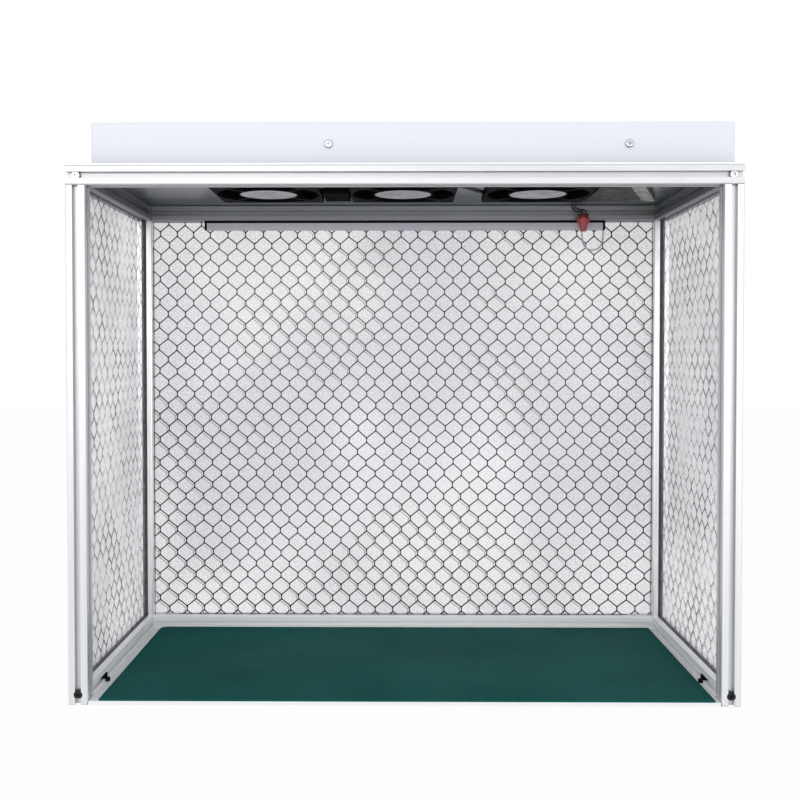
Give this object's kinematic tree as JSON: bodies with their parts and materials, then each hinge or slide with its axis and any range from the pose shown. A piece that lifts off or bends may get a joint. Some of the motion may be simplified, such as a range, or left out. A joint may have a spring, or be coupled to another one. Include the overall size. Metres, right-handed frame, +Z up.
{
  "type": "laminar flow hood",
  "caption": "Bench-top laminar flow hood: slotted aluminium frame, clear film on three sides, open front, matted floor, and a white header box with axial fans and a lamp bar under the rear rail.",
  "frame": {"origin": "centre of the footprint on the bench, at the underside of the posts", "axes": "+Z is up, +X runs along the width and the open front faces -Y"},
  "size_m": [0.68, 0.31, 0.5915],
  "materials": {
    "anodised_aluminium": "satin anodised",
    "black_screws": "black oxide",
    "zinc_screws": "zinc plated",
    "hidden_steel": "plain",
    "clear_film": "clear, with a thin printed grid",
    "film_seal": "matt",
    "floor_board": "satin",
    "mat_rubber": "matt",
    "black_plastic": "matt",
    "ceiling_steel": "satin",
    "white_paint": "satin powder coat",
    "label_silver": "satin, no print",
    "filter_paper": "matt",
    "frosted_cover": "frosted",
    "lamp_board": "white, with small emitters",
    "red_plastic": "gloss",
    "lead_black": "satin",
    "lead_clear": "clear sleeve",
    "dark_box": "satin",
    "wrapped_unit": "shrink sleeve"
  },
  "bodies": {
    "frame_body": {"base_board": "floor_board", "board_clips": "black_plastic", "bottom_side_rail_left": "anodised_aluminium", "bottom_side_rail_right": "anodised_aluminium", "ceiling_panel": "ceiling_steel", "corner_keys": "hidden_steel", "esd_mat": "mat_rubber", "fan_bearings": "hidden_steel", "fan_bridge": "hidden_steel", "fan_housing_1": "black_plastic", "fan_housing_2": "black_plastic", "fan_housing_3": "black_plastic", "fan_label_1": "label_silver", "fan_label_2": "label_silver", "fan_label_3": "label_silver", "fan_leads": "lead_black", "fan_screws": "zinc_screws", "fan_stator_1": "hidden_steel", "fan_stator_2": "hidden_steel", "fan_stator_3": "hidden_steel", "film_left": "clear_film", "film_rear": "clear_film", "film_right": "clear_film", "film_seals_left": "film_seal", "film_seals_rear": "film_seal", "film_seals_right": "film_seal", "filter_frame": "dark_box", "filter_pleats": "filter_paper", "front_post_left": "anodised_aluminium", "front_post_right": "anodised_aluminium", "front_top_beam": "anodised_aluminium", "header_cover": "white_paint", "header_screws": "zinc_screws", "junction_box": "dark_box", "key_set_screws": "hidden_steel", "lamp_diffuser": "frosted_cover", "lamp_end_caps": "black_plastic", "lamp_lead": "lead_clear", "lamp_rail": "black_plastic", "lamp_strip": "lamp_board", "lamp_supply_leads": "lead_black", "lower_frame_screws": "black_screws", "m4_nuts": "zinc_screws", "panel_screws": "zinc_screws", "panel_slot_nuts": "hidden_steel", "rear_bottom_rail": "anodised_aluminium", "rear_post_left": "anodised_aluminium", "rear_post_right": "anodised_aluminium", "rear_top_rail": "anodised_aluminium", "supply_socket": "black_plastic", "supply_unit": "wrapped_unit", "switch_body": "black_plastic", "top_side_rail_left": "anodised_aluminium", "top_side_rail_right": "anodised_aluminium", "upper_frame_screws": "zinc_screws", "wire_splice": "red_plastic"},
    "rotor_1": {"fan_rotor_1": "black_plastic"},
    "rotor_2": {"fan_rotor_2": "black_plastic"},
    "rotor_3": {"fan_rotor_3": "black_plastic"},
    "rocker": {"switch_rocker": "black_plastic"}
  },
  "joints": [
    {"name": "fan_1_spin", "type": "hinge", "parent": "frame_body", "child": "rotor_1", "pos_m": [-0.154, 0, 0.5577], "axis": [0, 0, 1], "continuous": true},
    {"name": "fan_2_spin", "type": "hinge", "parent": "frame_body", "child": "rotor_2", "pos_m": [0, 0, 0.5577], "axis": [0, 0, 1], "continuous": true},
    {"name": "fan_3_spin", "type": "hinge", "parent": "frame_body", "child": "rotor_3", "pos_m": [0.154, 0, 0.5577], "axis": [0, 0, 1], "continuous": true},
    {"name": "switch_rock", "type": "hinge", "parent": "frame_body", "child": "rocker", "pos_m": [0.255, 0.148, 0.5705], "axis": [1, 0, 0], "range_deg": [0, 16]}
  ]
}
